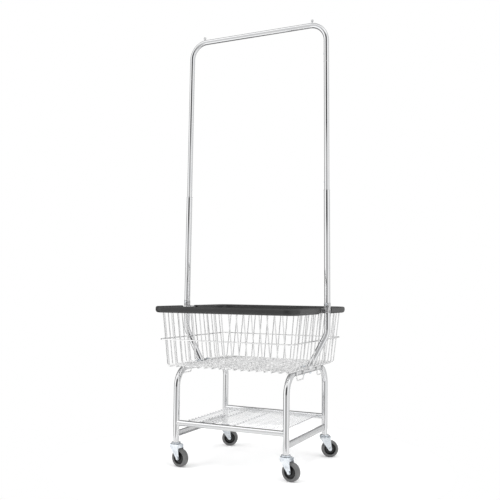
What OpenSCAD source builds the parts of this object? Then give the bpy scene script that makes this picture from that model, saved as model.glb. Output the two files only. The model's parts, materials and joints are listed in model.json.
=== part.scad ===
// Laundry cart: wire basket and wire shelf on two U-shaped leg frames, a tall hanging rack
// and four swivel casters.
// Millimetres. +Z is up, X runs along the cart, the origin is on the floor under its centre.

/* [Frame] */
// Half distance between the two leg frames
leg_half_x = 253; // [200:1:320]
// Half distance between the two legs of one frame
leg_half_y = 226; // [160:1:280]
// Outside diameter of the leg, rail and lower rack tubes
tube_d = 25.4; // [19:0.1:32]
// Wall of those tubes
tube_wall = 1.5; // [1:0.1:3]
// Height of the lower end of the legs above the floor
leg_foot_z = 100; // [80:1:140]
// Height of the centre line of the top run of a leg frame
leg_top_z = 411; // [350:1:480]
// Centre line radius of the leg frame corners
leg_bend_r = 80; // [50:1:120]
// Centre height of the two shelf rails
rail_z = 181; // [150:1:250]
// Outside diameter of the shelf rails
rail_d = 24; // [18:0.1:28]
// Centre height of the two side braces
brace_z = 134; // [115:1:165]
// Height of a side brace
brace_h = 24; // [16:1:32]
// Depth of a side brace
brace_depth = 13; // [8:0.5:18]

/* [Shelf] */
// Height of the centre line of the wires that cross the shelf from rail to rail
shelf_cross_z = 183; // [170:1:190]
// Diameter of the wires from rail to rail
shelf_cross_d = 4.4; // [3:0.1:6]
// Diameter of the long thin wires
shelf_long_d = 3; // [2:0.1:5]
// Number of long thin wires
shelf_long_count = 16; // [8:1:24]
// Half width of the field of long wires, front to back
shelf_long_half_y = 202; // [150:1:210]
// Half distance between the outermost wires from rail to rail
shelf_edge_x = 218; // [180:1:235]

/* [Basket] */
// Diameter of the basket wires
wire_d = 4.8; // [3:0.1:6]
// Number of U-shaped wires that run from the front to the back
cross_wire_count = 17; // [9:2:25]
// Half distance between the outermost of them
cross_wire_half_x = 268.8; // [230:0.1:290]
// Number of U-shaped wires that run from side to side
long_wire_count = 14; // [8:2:20]
// Half distance between the outermost of them
long_wire_half_y = 251.5; // [220:0.1:270]
// Half depth of the basket at its floor
basket_floor_half_y = 265; // [230:1:290]
// Half depth of the basket at the foot of the bumper
basket_rim_half_y = 309; // [280:1:330]
// Half length of the basket at its floor
basket_floor_half_x = 284.5; // [260:0.5:300]
// Half length of the basket at the foot of the bumper
basket_rim_half_x = 312; // [290:0.5:330]
// Height at which the rim half sizes above are taken
rim_z = 650; // [600:1:700]
// Inside bend between floor and wall, on the wire centre line
floor_bend_r = 8; // [6:0.5:20]
// Height of the wire ring round the middle of the basket
ring_z = 536.7; // [480:0.1:600]
// Diameter of the wire frame under the bumper
top_frame_d = 6.4; // [5:0.1:8]
// Height of the centre line of that frame
top_frame_z = 665; // [660:0.5:670]

/* [Bumper] */
// Half length over the bumper
bumper_half_x = 330; // [310:1:350]
// Half depth over the bumper
bumper_half_y = 325; // [305:1:340]
// Outside corner radius of the bumper
bumper_corner_r = 57; // [45:1:80]
// Height of the bumper section
bumper_h = 27; // [24:1:40]
// Thickness of the bumper section from outside to inside
bumper_t = 25; // [22:0.5:30]
// Distance from the rack plane to the near cut of each bumper half
near_cut_y = 34; // [30:1:80]
// Distance from the rack plane to the far cut of each bumper half
far_cut_y = 95; // [40:1:160]

/* [Rack] */
// Half distance between the uprights of the rack at the height of the datum below
rack_half_x = 342.6; // [320:0.1:360]
// Height of the rack datum, just above the bumper
rack_datum_z = 700; // [690:1:710]
// Inward lean of each upright in degrees
rack_lean = 0.47; // [0:0.01:2]
// Slope of the slanted foot of each upright, in degrees from the vertical
foot_slope = 28.5; // [15:0.5:40]
// Distance of the slanted foot's centre line from the middle of the cart at basket floor height
foot_x = 265; // [255:1:280]
// Height at which that distance is taken
foot_ref_z = 425; // [415:1:435]
// Centre line radius of the bends of the rack
rack_bend_r = 75; // [55:1:110]
// Height of the lower seam
low_seam_z = 698; // [690:1:702]
// Height of the middle seam
mid_seam_z = 1179; // [1000:1:1300]
// Height of the top seam
top_seam_z = 1738; // [1500:1:1800]
// Height of the centre line of the hanging bar
bar_z = 1905; // [1700:1:2000]
// Outside diameter of the upper tubes and the hanging bar
slim_d = 22.2; // [19:0.1:25]
// Wall of those tubes
slim_wall = 1.2; // [1:0.1:2]
// Distance of each snap button above its seam
button_rise = 34; // [20:1:45]
// Half distance between the two stop pins
pin_half_x = 268; // [255:0.5:275]
// Diameter of the ball on a stop pin
pin_ball_d = 12; // [8:0.5:16]

/* [Casters] */
// Wheel diameter
wheel_d = 75; // [60:1:80]
// Wheel width
wheel_w = 25; // [20:1:28]
// Distance from the swivel axis to the wheel axis
trail = 24; // [15:1:32]
// Heading of the front right caster in degrees
heading_front_right = -10; // [-180:1:180]
// Heading of the front left caster in degrees
heading_front_left = -10; // [-180:1:180]
// Heading of the rear right caster in degrees
heading_rear_right = 27; // [-180:1:180]
// Heading of the rear left caster in degrees
heading_rear_left = 18; // [-180:1:180]

/* [Hidden] */
// clearance between pieces that touch on the real cart
touch_gap = 0.1;
cut_extra = 1;
// straight pieces run this far into a bend, which is fuller by the swell all round
bend_lap = 0.3;
bend_swell = 0.04;
tube_r = tube_d / 2;
tube_bore_d = tube_d - 2 * tube_wall;
slim_bore_d = slim_d - 2 * slim_wall;
chrome = [0.80, 0.81, 0.83];
zinc = [0.66, 0.68, 0.70];
charcoal = [0.16, 0.16, 0.17];
grey_rubber = [0.55, 0.56, 0.57];

// shelf rails and their screws
rail_wall = 1.2;
rail_screw_x = leg_half_x - 24;
screw_d = 4;
screw_head_d = 8;
screw_head_h = 2.4;
screw_bite = 4;
// share of a pan head that is upright, and of its width that stays at the top
pan_share = 0.55;
// every shank runs this far into its own head
shank_lap = 1;

// wires from rail to rail, three of them close together at the left end
shelf_cross_x = [-shelf_edge_x, -165, -115, 0, shelf_edge_x];
shelf_long_z = shelf_cross_z + (shelf_cross_d + shelf_long_d) / 2 + touch_gap;
shelf_long_pitch = 2 * shelf_long_half_y / (shelf_long_count - 1);
shelf_long_over = 5;

// basket: the side-to-side wires rest on the leg frames, the others pass below them
wire_r = wire_d / 2;
long_wire_z = leg_top_z + tube_r + wire_r + touch_gap;
cross_wire_z = long_wire_z - wire_d - touch_gap;
floor_ref_z = leg_top_z + 15;
lean_y = atan((basket_rim_half_y - basket_floor_half_y) / (rim_z - floor_ref_z));
lean_x = atan((basket_rim_half_x - basket_floor_half_x) / (rim_z - floor_ref_z));
wall_top_z = top_frame_z - 1;
cross_pitch = 2 * cross_wire_half_x / (cross_wire_count - 1);
long_pitch = 2 * long_wire_half_y / (long_wire_count - 1);
ring_corner_r = 18;
ring_half_x = wall_x(ring_z) + wire_r / cos(lean_x) + wire_r + touch_gap;
ring_half_y = wall_y(ring_z) + wire_r / cos(lean_y) + wire_r + touch_gap;
frame_half_x = wall_x(wall_top_z) + wire_r / cos(lean_x) + top_frame_d / 2 + touch_gap;
frame_half_y = wall_y(wall_top_z) + wire_r / cos(lean_y) + top_frame_d / 2 + touch_gap;
frame_corner_r = 47;
loop_centre_y = 118;
loop_half_y = 37;
loop_low_z = 383;
loop_bend_r = 8;
foot_cut = 2;
// one clip and bolt sits between the two wires on either side of it
clip_y = long_pitch;
clip_len = long_pitch + wire_d + 3;
clip_w = 16;
clip_t = 2;
clip_bolt_d = 6;
clip_hex_d = 11.5;
clip_head_h = 4;
clip_nut_h = 5;
clip_bolt_over = 2;

// bumper section
bumper_low_z = rim_z - 1;
bumper_wall = 3;
bumper_inner_wall = 3.5;
bumper_slot_top = 20;
bumper_top_r = 8;
bumper_inner_r = 6;
bumper_foot_r = 12;
bumper_inner_rise = 2;
near_cut_slant = 20;

// rack
spigot_gap = 0.1;
low_spigot_d = tube_bore_d - 2 * spigot_gap;
low_spigot_len = 48;
slim_spigot_d = slim_bore_d - 2 * spigot_gap;
slim_spigot_len = 63;
spigot_wall = 1.3;
bead_h = 1.6;
bead_over = 0.8;
bead_lap = 0.5;
low_seam = low_seam_z - rack_datum_z;
mid_seam = mid_seam_z - rack_datum_z;
top_seam = top_seam_z - rack_datum_z;
foot_turn = foot_slope + rack_lean;
// where the slanted foot and the upright would meet without a bend
meet_z = (rack_half_x + rack_datum_z * tan(rack_lean) - foot_x + foot_ref_z * tan(foot_slope))
    / (tan(foot_slope) + tan(rack_lean));
meet_x = foot_x + (meet_z - foot_ref_z) * tan(foot_slope);
bend_tangent = rack_bend_r * tan(foot_turn / 2);
bend_start = [meet_x - bend_tangent * sin(foot_slope), meet_z - bend_tangent * cos(foot_slope)];
bend_end = [meet_x - bend_tangent * sin(rack_lean), meet_z + bend_tangent * cos(rack_lean)];
bend_centre = [
    bend_start[0] - rack_bend_r * cos(foot_slope),
    bend_start[1] + rack_bend_r * sin(foot_slope)
];
foot_start = [foot_x + (leg_top_z - foot_ref_z) * tan(foot_slope), leg_top_z];
bend_end_local = (bend_end[1] - rack_datum_z) / cos(rack_lean);
// hanging bar: the bends turn each upright into the bar
arch_centre_z = bar_z - rack_bend_r;
arch_start_z = arch_centre_z + rack_bend_r * sin(rack_lean);
arch_start_x = rack_half_x - (arch_start_z - rack_datum_z) * tan(rack_lean);
arch_centre_x = arch_start_x - rack_bend_r * cos(rack_lean);
arch_start_local = (arch_start_z - rack_datum_z) / cos(rack_lean);
pin_neck_d = 5;
pin_ball_z = bar_z + 21;
// the neck starts this far above the bar's centre line, inside the bar
pin_root = 4;
button_d = 6.44;
button_hole_d = 6.6;
button_head_d = 9;
button_tip = slim_d / 2 + 2.5;
// a button's head sits inside the tube and its shank starts inside the head
button_foot = 5.6;
button_head_h = 1.2;
button_root = 6;
button_nose = 1.2;

// rack brackets
collar_d = 28.4;
collar_bore_d = tube_d + 2 * touch_gap;
collar_low = -45;
collar_high = low_seam - bead_h - 0.6;
plate_x = frame_half_x + top_frame_d / 2 + touch_gap;
plate_t = 3;
plate_half_y = near_cut_y - 2;
plate_low_z = rim_z + 3;
plate_high_z = rim_z + 24;
bracket_bolt_z = -10;
bracket_bolt_d = 5;
bracket_bolt_over = 1;
bracket_nut_d = 9.2;
bracket_nut_h = 4;
bracket_head_d = 9;
bracket_head_h = 1.8;
bracket_top_d = 5.5;
bracket_top_h = 1.4;
bore_over = 20;
// block that joins a plate to its collar, started inside the plate
block_lap = 1;
block_half_y = 8;
block_h = 22;

// casters
axle_z = wheel_d / 2;
hub_r = 26;
hub_half_w = 11;
boss_r = 9;
boss_half_w = 14.5;
// a hub's dished sides: half widths beside the boss and beside the rim, and their radii
dish_at_boss = 7;
dish_at_rim = 5.5;
boss_slope = 1.5;
rim_foot = 5;
rim_top = 3.5;
axle_d = 8;
axle_fit = 0.08;
axle_over = 1;
axle_hex_d = 13.8;
axle_head_h = 4;
axle_nut_h = 5;
fork_inner = 15.5;
fork_t = 2.5;
fork_foot_r = 8;
fork_back = 19;
fork_front = 26;
fork_side_h = 13;
flange_d = 40;
flange_bevel = 1.5;
flange_foot_d = flange_d - 4;
flange_low = leg_foot_z - 5.5;
crown_high = flange_low - 0.5;
crown_low = crown_high - 3;
crown_d = 46;
kingpin_d = 10;
kingpin_fit = 0.08;
rivet_d = 18;
rivet_h = 3;
rivet_drop = 0.5;
plug_d = tube_bore_d - 2 * touch_gap;
plug_len = 40;
tyre_shoulder = 5;
tyre_bevel = 1.5;
tyre_fit = 0.05;
shoulder_steps = 4;

function wall_y(z) = basket_floor_half_y + (z - floor_ref_z) * tan(lean_y);
function wall_x(z) = basket_floor_half_x + (z - floor_ref_z) * tan(lean_x);
function arc_points(cx, cy, r, from, to, steps) = [
    for (i = [0 : steps]) [
        cx + r * cos(from + (to - from) * i / steps),
        cy + r * sin(from + (to - from) * i / steps)
    ]
];

// drawing planes for bent tubes and wires
module plane_yz(x) {
    translate([x, 0, 0]) rotate([90, 0, 90]) children();
}

module plane_xz(y) {
    translate([0, y, 0]) rotate([90, 0, 0]) children();
}

module plane_xy(z) {
    translate([0, 0, z]) children();
}

// round section, hollow when a wall is given
module section(d, wall) {
    if (wall > 0) {
        difference() {
            circle(d = d, $fn = 48);
            circle(d = d - 2 * wall, $fn = 48);
        }
    } else {
        circle(d = d, $fn = 32);
    }
}

// straight piece between two points of the drawing plane, with the laps that run into a bend
module run(a, b, d, wall = 0, lap_a = bend_lap, lap_b = bend_lap) {
    step = b - a;
    translate([a[0], a[1], 0])
        rotate([0, 0, atan2(step[1], step[0])])
            translate([-lap_a, 0, 0])
                rotate([0, 90, 0])
                    linear_extrude(height = norm(step) + lap_a + lap_b)
                        section(d, wall);
}

// bend round a centre in the drawing plane, counter-clockwise, a touch fuller than the
// straight pieces that run into it
module bend(centre, r, from, to, d, wall = 0) {
    translate([centre[0], centre[1], 0])
        rotate([0, 0, from])
            rotate_extrude(angle = to - from, $fn = 96)
                translate([r, 0])
                    section(d + 2 * bend_swell, wall > 0 ? wall + 2 * bend_swell : 0);
}

// upright tube piece along the local Z axis
module pipe(low, high, d, wall) {
    translate([0, 0, low])
        linear_extrude(height = high - low)
            section(d, wall);
}

// shoulder ring that joins a tube to the narrower spigot above the seam
module bead(seam, tube, spigot) {
    outer = tube + 2 * bead_over;
    inner = spigot - 2 * spigot_wall - 0.2;
    pipe(seam - bead_h, seam, outer, (outer - inner) / 2);
}

// local frame of the right upright: origin at the rack datum, Z along the upright
module on_upright() {
    translate([rack_half_x, 0, rack_datum_z])
        rotate([0, -rack_lean, 0])
            children();
}

// one wire bent into a flat U with leaning sides, drawn in the current plane; with a gap
// its floor is cut away over that half width
module u_wire(floor_z, half_at_ref, lean, top_z, gap = 0) {
    end_z = floor_z + floor_bend_r * (1 - sin(lean));
    end_u = half_at_ref + (end_z - floor_ref_z) * tan(lean);
    flat = end_u - floor_bend_r * cos(lean);
    top_u = half_at_ref + (top_z - floor_ref_z) * tan(lean);
    if (gap == 0) {
        run([-flat, floor_z], [flat, floor_z], wire_d);
    }
    for (side = [0, 1]) {
        mirror([side, 0, 0]) {
            if (gap > 0) {
                run([gap, floor_z], [flat, floor_z], wire_d, 0, 0);
            }
            bend([flat, floor_z + floor_bend_r], floor_bend_r, -90, -lean, wire_d);
            run([end_u, end_z], [top_u, top_z], wire_d, 0, bend_lap, 0);
        }
    }
}

// closed rectangle of wire with round corners
module wire_rectangle(half_x, half_y, r, d) {
    for (side = [-1, 1]) {
        run([-half_x + r, side * half_y], [half_x - r, side * half_y], d);
        run([side * half_x, -half_y + r], [side * half_x, half_y - r], d);
    }
    bend([half_x - r, half_y - r], r, 0, 90, d);
    bend([-half_x + r, half_y - r], r, 90, 180, d);
    bend([-half_x + r, -half_y + r], r, 180, 270, d);
    bend([half_x - r, -half_y + r], r, 270, 360, d);
}

module leg_frame() {
    color(chrome) difference() {
        plane_yz(leg_half_x) {
            run([-leg_half_y, leg_foot_z + touch_gap], [-leg_half_y, leg_top_z - leg_bend_r],
                tube_d, tube_wall, 0);
            run([leg_half_y, leg_foot_z + touch_gap], [leg_half_y, leg_top_z - leg_bend_r],
                tube_d, tube_wall, 0);
            run([-leg_half_y + leg_bend_r, leg_top_z], [leg_half_y - leg_bend_r, leg_top_z],
                tube_d, tube_wall);
            bend([leg_half_y - leg_bend_r, leg_top_z - leg_bend_r], leg_bend_r, 0, 90,
                tube_d, tube_wall);
            bend([-leg_half_y + leg_bend_r, leg_top_z - leg_bend_r], leg_bend_r, 90, 180,
                tube_d, tube_wall);
        }
        for (side = [-1, 1]) {
            translate([leg_half_x, side * clip_y, leg_top_z - tube_d])
                cylinder(d = clip_bolt_d + 2 * touch_gap, h = 2 * tube_d, $fn = 32);
        }
    }
}

module leg_frame_right() {
    leg_frame();
}

module leg_frame_left() {
    mirror([1, 0, 0]) leg_frame();
}

// round rail between the legs, its ends cut to the shape of the legs
module shelf_rail() {
    color(chrome) difference() {
        plane_xy(rail_z)
            run([-leg_half_x, leg_half_y], [leg_half_x, leg_half_y], rail_d, rail_wall, 0, 0);
        for (side = [-1, 1]) {
            translate([side * leg_half_x, leg_half_y, rail_z - rail_d])
                cylinder(d = tube_d + 0.3, h = 2 * rail_d, $fn = 48);
            translate([side * rail_screw_x, leg_half_y, rail_z])
                rotate([90, 0, 0])
                    cylinder(d = screw_d + 2 * touch_gap, h = rail_d, $fn = 32);
        }
    }
}

module shelf_rail_rear() {
    shelf_rail();
}

module shelf_rail_front() {
    mirror([0, 1, 0]) shelf_rail();
}

// pan-head screws on the inner faces of the rails
module rail_screws() {
    inner_y = leg_half_y - rail_d / 2;
    color(zinc)
    for (side_x = [-1, 1])
        for (side_y = [-1, 1])
            translate([side_x * rail_screw_x, side_y * inner_y, rail_z])
                rotate([side_y * 90, 0, 0]) {
                    translate([0, 0, touch_gap])
                        cylinder(d = screw_head_d, h = screw_head_h * pan_share, $fn = 32);
                    translate([0, 0, touch_gap + screw_head_h * pan_share])
                        cylinder(d1 = screw_head_d, d2 = screw_head_d * pan_share,
                            h = screw_head_h * (1 - pan_share), $fn = 32);
                    translate([0, 0, -screw_bite])
                        cylinder(d = screw_d, h = screw_bite + shank_lap, $fn = 32);
                }
}

// folded channel, open towards the middle of the cart, its ends cut to the legs
module side_brace() {
    fold = 1.6;
    lip = 3;
    half_h = brace_h / 2;
    half_d = brace_depth / 2;
    color(chrome) difference() {
        translate([leg_half_x, -leg_half_y, brace_z])
            rotate([-90, 0, 0])
                linear_extrude(height = 2 * leg_half_y)
                    polygon([
                        [half_d, -half_h],
                        [half_d, half_h],
                        [-half_d, half_h],
                        [-half_d, half_h - lip],
                        [-half_d + fold, half_h - lip],
                        [-half_d + fold, half_h - fold],
                        [half_d - fold, half_h - fold],
                        [half_d - fold, -half_h + fold],
                        [-half_d + fold, -half_h + fold],
                        [-half_d + fold, -half_h + lip],
                        [-half_d, -half_h + lip],
                        [-half_d, -half_h]
                    ]);
        for (side = [-1, 1]) {
            translate([leg_half_x, side * leg_half_y, brace_z - brace_h])
                cylinder(d = tube_d + 0.3, h = 2 * brace_h, $fn = 48);
            // nothing is left of the channel beyond the middle of a leg
            translate([leg_half_x - tube_d, side * (leg_half_y + tube_d) - tube_d,
                    brace_z - brace_h])
                cube([2 * tube_d, 2 * tube_d, 2 * brace_h]);
        }
    }
}

module side_brace_right() {
    side_brace();
}

module side_brace_left() {
    mirror([1, 0, 0]) side_brace();
}

module shelf_wires() {
    cross_half_y = leg_half_y - rail_d / 2 - touch_gap;
    color(chrome) {
        plane_xy(shelf_cross_z)
            for (x = shelf_cross_x)
                run([x, -cross_half_y], [x, cross_half_y], shelf_cross_d, 0, 0, 0);
        plane_xy(shelf_long_z)
            for (i = [0 : shelf_long_count - 1])
                run([-shelf_edge_x - shelf_long_over, -shelf_long_half_y + i * shelf_long_pitch],
                    [shelf_edge_x + shelf_long_over, -shelf_long_half_y + i * shelf_long_pitch],
                    shelf_long_d, 0, 0, 0);
    }
}

// the two outermost wires are cut where the slanted feet of the rack pass through
module basket_cross_wires() {
    last = cross_wire_count - 1;
    color(chrome)
    for (i = [0 : last])
        plane_yz(-cross_wire_half_x + i * cross_pitch)
            u_wire(cross_wire_z, basket_floor_half_y, lean_y, wall_top_z,
                i == 0 || i == last ? tube_r + foot_cut : 0);
}

module basket_long_wires() {
    color(chrome)
    for (i = [0 : long_wire_count - 1])
        plane_xz(-long_wire_half_y + i * long_pitch)
            u_wire(long_wire_z, basket_floor_half_x, lean_x, wall_top_z);
}

module basket_ring() {
    color(chrome)
    plane_xy(ring_z)
        wire_rectangle(ring_half_x, ring_half_y, ring_corner_r, wire_d);
}

module basket_top_frame() {
    color(chrome)
    plane_xy(top_frame_z)
        wire_rectangle(frame_half_x, frame_half_y, frame_corner_r, top_frame_d);
}

// hooks below the basket floor that hold it sideways against the leg frames
module basket_loops() {
    top_z = cross_wire_z - wire_r - touch_gap;
    low = loop_low_z + loop_bend_r;
    color(chrome)
    for (side_x = [-1, 1])
        for (side_y = [-1, 1])
            plane_yz(side_x * cross_wire_half_x)
                translate([side_y * loop_centre_y, 0, 0]) {
                    run([-loop_half_y, low], [-loop_half_y, top_z], wire_d, 0, bend_lap, 0);
                    run([loop_half_y, low], [loop_half_y, top_z], wire_d, 0, bend_lap, 0);
                    run([-loop_half_y + loop_bend_r, loop_low_z],
                        [loop_half_y - loop_bend_r, loop_low_z], wire_d);
                    bend([loop_half_y - loop_bend_r, low], loop_bend_r, -90, 0, wire_d);
                    bend([-loop_half_y + loop_bend_r, low], loop_bend_r, 180, 270, wire_d);
                }
}

// plates that hold two side-to-side wires down on the leg frame
module basket_clips() {
    clip_z = long_wire_z + wire_r + touch_gap;
    color(zinc)
    for (side_x = [-1, 1])
        for (side_y = [-1, 1])
            translate([side_x * leg_half_x, side_y * clip_y, clip_z])
                difference() {
                    translate([-clip_w / 2, -clip_len / 2, 0])
                        cube([clip_w, clip_len, clip_t]);
                    translate([0, 0, -cut_extra])
                        cylinder(d = clip_bolt_d + 2 * touch_gap, h = clip_t + 2 * cut_extra,
                            $fn = 32);
                }
}

module basket_bolts() {
    head_z = long_wire_z + wire_r + clip_t + 2 * touch_gap;
    nut_z = leg_top_z - tube_r - touch_gap;
    below = clip_nut_h + clip_bolt_over;
    color(zinc)
    for (side_x = [-1, 1])
        for (side_y = [-1, 1])
            translate([side_x * leg_half_x, side_y * clip_y, 0]) {
                translate([0, 0, nut_z - below])
                    cylinder(d = clip_bolt_d, h = head_z - nut_z + below + shank_lap, $fn = 32);
                translate([0, 0, head_z])
                    cylinder(d = clip_hex_d, h = clip_head_h, $fn = 6);
                translate([0, 0, nut_z - clip_nut_h])
                    cylinder(d = clip_hex_d, h = clip_nut_h, $fn = 6);
            }
}

// bumper section: u is measured inwards from the outer face
function bumper_profile(sign, offset) = [
    for (p = concat(
        arc_points(bumper_foot_r, bumper_low_z + bumper_foot_r, bumper_foot_r - bumper_wall,
            180, 270, 5),
        arc_points(bumper_foot_r, bumper_low_z + bumper_foot_r, bumper_foot_r, 270, 180, 7),
        arc_points(bumper_top_r, bumper_low_z + bumper_h - bumper_top_r, bumper_top_r,
            180, 90, 5),
        arc_points(bumper_t - bumper_inner_r, bumper_low_z + bumper_h - bumper_inner_r,
            bumper_inner_r, 90, 0, 4),
        [
            [bumper_t, bumper_low_z + bumper_inner_rise],
            [bumper_t - bumper_inner_wall, bumper_low_z + bumper_inner_rise],
            [bumper_t - bumper_inner_wall, bumper_low_z + bumper_slot_top],
            [bumper_wall, bumper_low_z + bumper_slot_top]
        ]
    )) [offset + sign * p[0], p[1]]
];

module bumper_end(cut_y, slant) {
    corner_y = bumper_half_y - bumper_corner_r;
    translate([bumper_half_x - bumper_corner_r, -corner_y, 0])
        rotate([0, 0, -90])
            rotate_extrude(angle = 90, $fn = 96)
                polygon(bumper_profile(-1, bumper_corner_r));
    difference() {
        translate([0, -cut_y, 0])
            rotate([90, 0, 0])
                linear_extrude(height = corner_y - cut_y)
                    polygon(bumper_profile(-1, bumper_half_x));
        if (slant > 0) {
            translate([bumper_half_x + cut_extra, -cut_y, 0])
                rotate([0, -90, 0])
                    linear_extrude(height = bumper_t + 2 * cut_extra)
                        polygon([
                            [bumper_low_z - cut_extra, cut_extra],
                            [bumper_low_z - cut_extra, -slant],
                            [bumper_low_z + 0.6 * bumper_h, 0],
                            [bumper_low_z + 0.6 * bumper_h, cut_extra]
                        ]);
        }
    }
}

module bumper_half() {
    straight = bumper_half_x - bumper_corner_r;
    color(charcoal) {
        translate([-straight, 0, 0])
            rotate([90, 0, 90])
                linear_extrude(height = 2 * straight)
                    polygon(bumper_profile(1, -bumper_half_y));
        bumper_end(near_cut_y, near_cut_slant);
        mirror([1, 0, 0]) bumper_end(far_cut_y, 0);
    }
}

module bumper_front() {
    bumper_half();
}

module bumper_rear() {
    rotate([0, 0, 180]) bumper_half();
}

// collar round the upright, joined to a plate that hooks over the basket's top frame
module rack_bracket() {
    lip_depth = top_frame_d + plate_t;
    lip_z = top_frame_z + top_frame_d / 2 + touch_gap;
    color(zinc) difference() {
        union() {
            on_upright() translate([0, 0, collar_low])
                cylinder(d = collar_d, h = collar_high - collar_low, $fn = 48);
            translate([plate_x, -plate_half_y, plate_low_z])
                cube([plate_t, 2 * plate_half_y, plate_high_z - plate_low_z]);
            translate([plate_x + plate_t - lip_depth, -plate_half_y, lip_z])
                cube([lip_depth, 2 * plate_half_y, plate_high_z - lip_z]);
            translate([plate_x + block_lap, -block_half_y, plate_low_z])
                cube([rack_half_x - plate_x - block_lap, 2 * block_half_y, block_h]);
        }
        on_upright() translate([0, 0, collar_low - bore_over])
            cylinder(d = collar_bore_d, h = collar_high - collar_low + 2 * bore_over, $fn = 48);
        on_upright() translate([0, collar_d, bracket_bolt_z])
            rotate([90, 0, 0])
                cylinder(d = bracket_bolt_d + 2 * touch_gap, h = 2 * collar_d, $fn = 32);
    }
}

module rack_bracket_right() {
    rack_bracket();
}

module rack_bracket_left() {
    mirror([1, 0, 0]) rack_bracket();
}

module bracket_bolt() {
    face = collar_d / 2 + touch_gap;
    behind = bracket_nut_h + bracket_bolt_over;
    color(zinc)
    on_upright() translate([0, 0, bracket_bolt_z]) rotate([90, 0, 0]) {
        translate([0, 0, -face - behind])
            cylinder(d = bracket_bolt_d, h = 2 * face + behind + shank_lap, $fn = 32);
        translate([0, 0, face])
            cylinder(d = bracket_head_d, h = bracket_head_h, $fn = 32);
        translate([0, 0, face + bracket_head_h])
            cylinder(d1 = bracket_head_d, d2 = bracket_top_d, h = bracket_top_h, $fn = 32);
        translate([0, 0, -face - bracket_nut_h])
            cylinder(d = bracket_nut_d, h = bracket_nut_h, $fn = 6);
    }
}

module bracket_bolts() {
    bracket_bolt();
    mirror([1, 0, 0]) bracket_bolt();
}

// slanted foot, bend and lower part of an upright, with the spigot for the next tube
module lower_pole() {
    color(chrome) difference() {
        union() {
            plane_xz(0) {
                run(foot_start, bend_start, tube_d, tube_wall, 0);
                bend(bend_centre, rack_bend_r, -foot_slope, rack_lean, tube_d, tube_wall);
            }
            on_upright() {
                pipe(bend_end_local - bend_lap, low_seam - bead_h + bead_lap, tube_d, tube_wall);
                bead(low_seam, tube_d, low_spigot_d);
                pipe(low_seam - bead_lap, low_seam + low_spigot_len, low_spigot_d, spigot_wall);
            }
        }
        translate([leg_half_x, leg_half_y, leg_top_z])
            rotate([90, 0, 0])
                cylinder(d = tube_d + 2 * touch_gap, h = 2 * leg_half_y, $fn = 48);
        on_upright() translate([0, collar_d, bracket_bolt_z])
            rotate([90, 0, 0])
                cylinder(d = bracket_bolt_d + 2 * touch_gap, h = 2 * collar_d, $fn = 32);
    }
}

module lower_pole_right() {
    lower_pole();
}

module lower_pole_left() {
    mirror([1, 0, 0]) lower_pole();
}

// hole for a snap button on the inner side of the right upright
module button_hole(z) {
    translate([-slim_d, 0, z])
        rotate([0, 90, 0])
            cylinder(d = button_hole_d, h = slim_d, $fn = 32);
}

module mid_pole() {
    color(chrome) on_upright() difference() {
        union() {
            pipe(low_seam + touch_gap, mid_seam - bead_h + bead_lap, tube_d, tube_wall);
            bead(mid_seam, tube_d, slim_spigot_d);
            pipe(mid_seam - bead_lap, mid_seam + slim_spigot_len, slim_spigot_d, spigot_wall);
        }
        button_hole(mid_seam + button_rise);
    }
}

module mid_pole_right() {
    mid_pole();
}

module mid_pole_left() {
    mirror([1, 0, 0]) mid_pole();
}

module upper_pole() {
    color(chrome) on_upright() difference() {
        union() {
            pipe(mid_seam + touch_gap, top_seam - bead_h + bead_lap, slim_d, slim_wall);
            bead(top_seam, slim_d, slim_spigot_d);
            pipe(top_seam - bead_lap, top_seam + slim_spigot_len, slim_spigot_d, spigot_wall);
        }
        button_hole(mid_seam + button_rise);
        button_hole(top_seam + button_rise);
    }
}

module upper_pole_right() {
    upper_pole();
}

module upper_pole_left() {
    mirror([1, 0, 0]) upper_pole();
}

module arch_side() {
    on_upright() difference() {
        pipe(top_seam + touch_gap, arch_start_local + bend_lap, slim_d, slim_wall);
        button_hole(top_seam + button_rise);
    }
    plane_xz(0)
        bend([arch_centre_x, arch_centre_z], rack_bend_r, rack_lean, 90, slim_d, slim_wall);
}

module hanger_arch() {
    color(chrome) difference() {
        union() {
            arch_side();
            mirror([1, 0, 0]) arch_side();
            plane_xz(0)
                run([-arch_centre_x, bar_z], [arch_centre_x, bar_z], slim_d, slim_wall);
        }
        for (side = [-1, 1])
            translate([side * pin_half_x, 0, bar_z])
                cylinder(d = pin_neck_d + 2 * touch_gap, h = slim_d, $fn = 32);
    }
}

module stop_pins() {
    color(chrome)
    for (side = [-1, 1])
        translate([side * pin_half_x, 0, 0]) {
            translate([0, 0, bar_z + pin_root])
                cylinder(d = pin_neck_d, h = pin_ball_z - bar_z - pin_root, $fn = 32);
            translate([0, 0, pin_ball_z])
                sphere(d = pin_ball_d, $fn = 32);
        }
}

// button with its retaining head inside the spigot
module snap_button(z) {
    color(zinc)
    on_upright() translate([0, 0, z]) rotate([0, -90, 0]) {
        translate([0, 0, button_foot])
            cylinder(d = button_head_d, h = button_head_h, $fn = 32);
        translate([0, 0, button_root])
            cylinder(d = button_d, h = button_tip - button_root - button_nose, $fn = 32);
        translate([0, 0, button_tip - button_nose])
            cylinder(d1 = button_d, d2 = button_d * pan_share, h = button_nose, $fn = 32);
    }
}

module snap_button_mid_right() {
    snap_button(mid_seam + button_rise);
}

module snap_button_mid_left() {
    mirror([1, 0, 0]) snap_button(mid_seam + button_rise);
}

module snap_button_top_right() {
    snap_button(top_seam + button_rise);
}

module snap_button_top_left() {
    mirror([1, 0, 0]) snap_button(top_seam + button_rise);
}

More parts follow.
